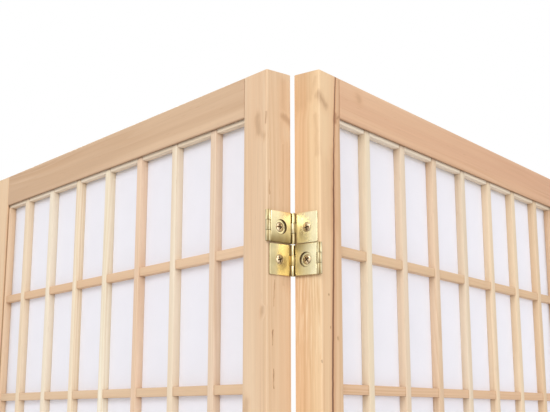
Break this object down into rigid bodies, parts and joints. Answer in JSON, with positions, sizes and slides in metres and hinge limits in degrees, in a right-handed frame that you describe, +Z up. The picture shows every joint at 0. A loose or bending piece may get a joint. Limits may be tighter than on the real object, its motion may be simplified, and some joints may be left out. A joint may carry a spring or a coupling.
{
  "type": "folding room divider",
  "caption": "Folding room divider of paper panels on a wooden lattice, joined by two-way brass hinges so that it folds forwards or backwards.",
  "frame": {"origin": "floor level, at the centre of the box round the screen as it stands half folded", "axes": "+Z up along the hinge axes, +Y from the hinged corner towards the open ends of the panels, +X towards the right panel seen from the hinged corner"},
  "size_m": [0.5438, 0.3364, 1.7],
  "materials": {
    "frame_wood": "bare planed softwood, satin",
    "lattice_wood": "bare planed softwood, matte",
    "dowel_wood": "turned hardwood, matte",
    "paper": "matte white screen paper",
    "brass": "bright pressed brass",
    "screw_steel": "brass-plated steel",
    "brad_steel": "bright steel wire"
  },
  "bodies": {
    "left_panel": {"left_hinge_stile": "frame_wood", "left_outer_stile": "frame_wood", "left_top_rail": "frame_wood", "left_bottom_rail": "frame_wood", "left_lattice_top_border": "lattice_wood", "left_lattice_bottom_border": "lattice_wood", "left_lattice_hinge_border": "lattice_wood", "left_lattice_outer_border": "lattice_wood", "left_lattice_uprights": "lattice_wood", "left_lattice_crossbars": "lattice_wood", "left_paper": "paper", "left_top_batten": "frame_wood", "left_bottom_batten": "frame_wood", "left_hinge_side_batten": "frame_wood", "left_outer_side_batten": "frame_wood", "left_batten_brads": "brad_steel", "left_corner_dowels": "dowel_wood", "top_hinge_left_upper_leaf": "brass", "top_hinge_left_lower_leaf": "brass", "middle_hinge_left_upper_leaf": "brass", "middle_hinge_left_lower_leaf": "brass", "bottom_hinge_left_upper_leaf": "brass", "bottom_hinge_left_lower_leaf": "brass", "left_hinge_screws": "screw_steel"},
    "upper_plates": {"top_hinge_upper_middle_plate": "brass", "middle_hinge_upper_middle_plate": "brass", "bottom_hinge_upper_middle_plate": "brass", "left_front_hinge_pins": "brass", "upper_back_hinge_pins": "brass"},
    "right_panel": {"right_hinge_stile": "frame_wood", "right_outer_stile": "frame_wood", "right_top_rail": "frame_wood", "right_bottom_rail": "frame_wood", "right_lattice_top_border": "lattice_wood", "right_lattice_bottom_border": "lattice_wood", "right_lattice_hinge_border": "lattice_wood", "right_lattice_outer_border": "lattice_wood", "right_lattice_uprights": "lattice_wood", "right_lattice_crossbars": "lattice_wood", "right_paper": "paper", "right_top_batten": "frame_wood", "right_bottom_batten": "frame_wood", "right_hinge_side_batten": "frame_wood", "right_outer_side_batten": "frame_wood", "right_batten_brads": "brad_steel", "right_corner_dowels": "dowel_wood", "top_hinge_right_upper_leaf": "brass", "top_hinge_right_lower_leaf": "brass", "middle_hinge_right_upper_leaf": "brass", "middle_hinge_right_lower_leaf": "brass", "bottom_hinge_right_upper_leaf": "brass", "bottom_hinge_right_lower_leaf": "brass", "right_hinge_screws": "screw_steel"},
    "lower_plates": {"top_hinge_lower_middle_plate": "brass", "middle_hinge_lower_middle_plate": "brass", "bottom_hinge_lower_middle_plate": "brass", "lower_back_hinge_pins": "brass", "right_front_hinge_pins": "brass"}
  },
  "joints": [
    {"name": "fold_forward", "type": "hinge", "parent": "left_panel", "child": "upper_plates", "pos_m": [-0.01604, -0.1664, 0.85], "axis": [0, 0, 1], "range_deg": [-180, 0]},
    {"name": "fold_back", "type": "hinge", "parent": "upper_plates", "child": "right_panel", "pos_m": [0, -0.15364, 0.85], "axis": [0, 0, 1], "range_deg": [-103, 77]},
    {"name": "lower_plate_swing", "type": "hinge", "parent": "right_panel", "child": "lower_plates", "pos_m": [0.01604, -0.1664, 0.85], "axis": [0, 0, 1], "range_deg": [0, 180]}
  ],
  "couplings": [
    {"joint": "lower_plate_swing", "follows": "fold_forward", "ratio": -1}
  ]
}
